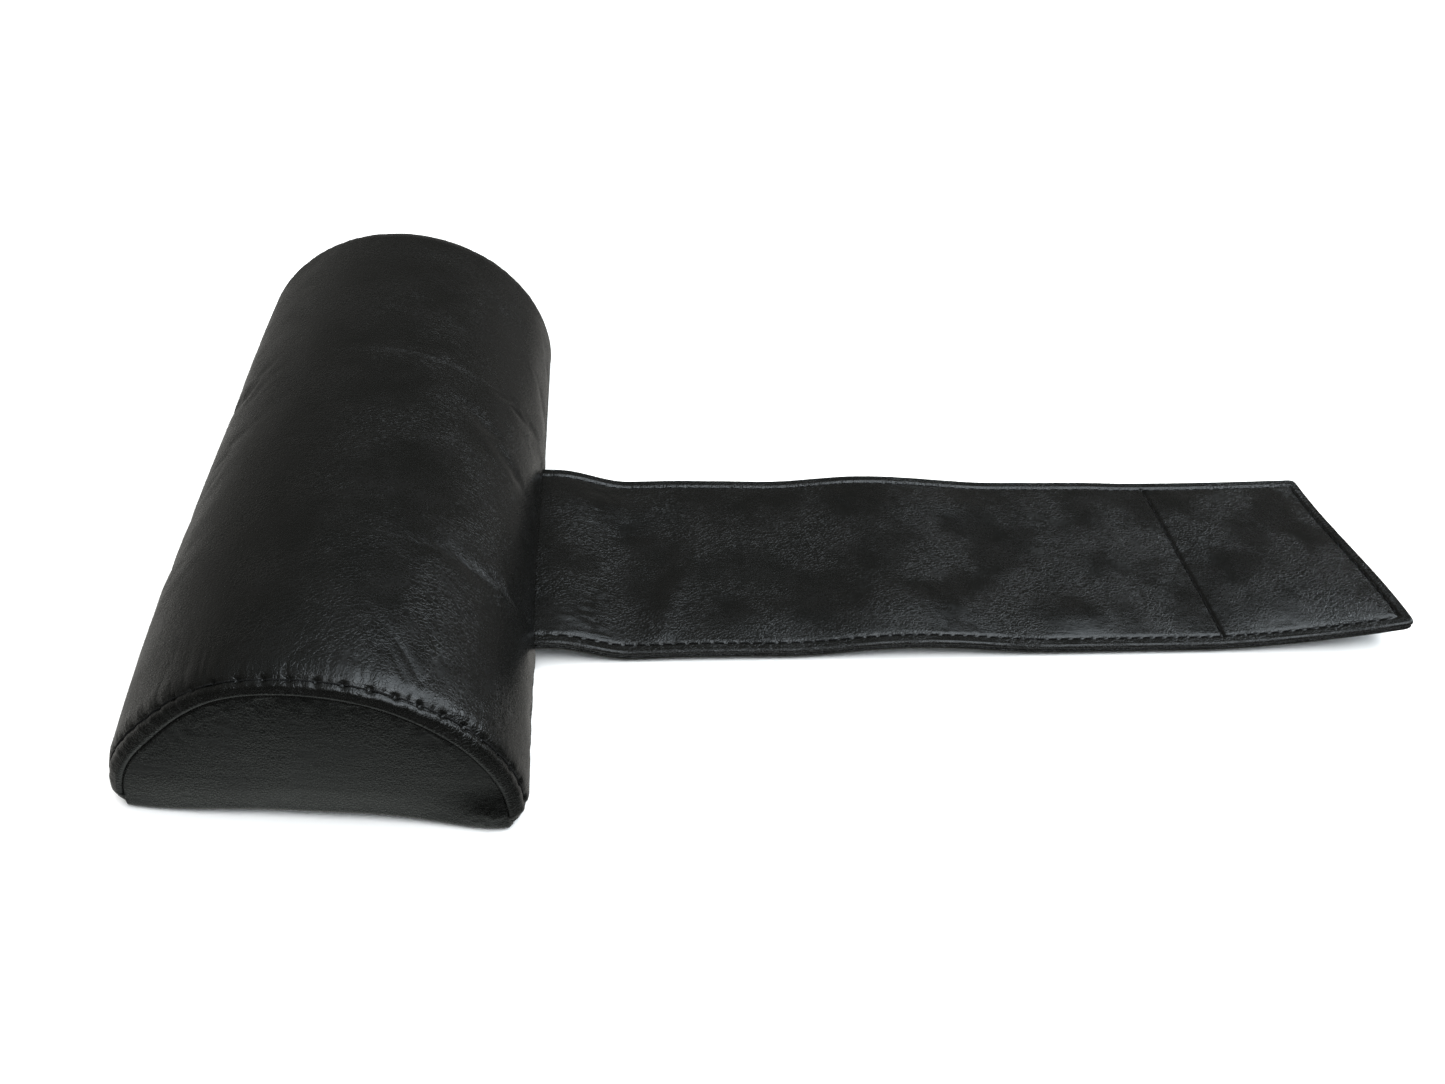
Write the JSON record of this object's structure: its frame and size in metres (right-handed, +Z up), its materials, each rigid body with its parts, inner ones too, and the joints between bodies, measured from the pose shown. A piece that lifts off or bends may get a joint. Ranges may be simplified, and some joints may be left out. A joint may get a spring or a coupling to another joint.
{
  "type": "chair armrest pad",
  "caption": "Half-round faux-leather pad filled with foam, with one broad stitched strap that folds over and fastens under it.",
  "frame": {"origin": "centre of the pad's flat base, on the surface that it rests on", "axes": "+X across the pad, towards the strap; +Y along the pad, away from the end shown in front; +Z up, from the flat base to the top of the arch"},
  "size_m": [0.51, 0.292, 0.072],
  "materials": {
    "faux_leather": "black faux leather with a fine creased grain, semi-gloss",
    "base_leather": "black faux leather, duller than the top",
    "loop_tape": "black brushed loop pile",
    "hook_tape": "black woven tape with rows of small hooks",
    "foam": "open-cell polyurethane foam",
    "wadding": "white polyester wadding",
    "felt": "grey needle felt",
    "thread": "black bonded sewing thread",
    "zip_tape": "black woven polyester",
    "zip_teeth": "black moulded coil",
    "zip_metal": "black lacquered zinc"
  },
  "bodies": {
    "pad": {"wrap_cover": "faux_leather", "end_panel_front": "faux_leather", "end_panel_rear": "faux_leather", "base_panel": "base_leather", "base_margin": "base_leather", "loop_panel": "loop_tape", "foam_core": "foam", "wadding_wrap": "wadding", "end_wadding_front": "wadding", "end_wadding_rear": "wadding", "thread_front_arch": "thread", "thread_rear_arch": "thread", "zip_tape_inner": "zip_tape", "zip_tape_outer": "zip_tape", "zip_teeth_inner": "zip_teeth", "zip_teeth_outer": "zip_teeth", "zip_stop_front": "zip_metal", "zip_stop_rear": "zip_metal", "strap_anchor": "faux_leather"},
    "zip_slider": {"zip_slider": "zip_metal"},
    "zip_pull": {"zip_pull": "zip_metal"},
    "strap_a": {"strap_a_upper": "faux_leather", "strap_a_felt": "felt", "strap_a_lower": "faux_leather", "strap_a_thread_near": "thread", "strap_a_thread_far": "thread"},
    "strap_b": {"strap_b_upper": "faux_leather", "strap_b_felt": "felt", "strap_b_lower": "faux_leather", "strap_b_thread_near": "thread", "strap_b_thread_far": "thread"},
    "strap_c": {"strap_c_upper": "faux_leather", "strap_c_felt": "felt", "strap_c_lower": "faux_leather", "strap_c_thread_near": "thread", "strap_c_thread_far": "thread"},
    "strap_end": {"strap_end_upper": "faux_leather", "strap_end_felt": "felt", "strap_end_lower": "faux_leather", "hook_panel": "hook_tape", "strap_end_thread": "thread", "cross_seam_thread": "thread"}
  },
  "joints": [
    {"name": "strap_root", "type": "hinge", "parent": "pad", "child": "strap_a", "pos_m": [0.0745, -0.022, 0.01], "axis": [0, -1, 0], "range_deg": [-90, 80]},
    {"name": "strap_near_bend", "type": "hinge", "parent": "strap_a", "child": "strap_b", "pos_m": [0.168, -0.022, 0.00307], "axis": [0, -1, 0], "range_deg": [-60, 60]},
    {"name": "strap_far_bend", "type": "hinge", "parent": "strap_b", "child": "strap_c", "pos_m": [0.262, -0.022, 0.00417], "axis": [0, -1, 0], "range_deg": [-60, 60]},
    {"name": "strap_end_bend", "type": "hinge", "parent": "strap_c", "child": "strap_end", "pos_m": [0.356, -0.022, 0.00305], "axis": [0, -1, 0], "range_deg": [-60, 60]},
    {"name": "zip_slide", "type": "slide", "parent": "pad", "child": "zip_slider", "axis": [0, -1, 0], "range_m": [0, 0.194]},
    {"name": "zip_pull_swing", "type": "hinge", "parent": "zip_slider", "child": "zip_pull", "pos_m": [0.045, 0.104, 0.00045], "axis": [1, 0, 0], "range_deg": [0, 150]}
  ]
}
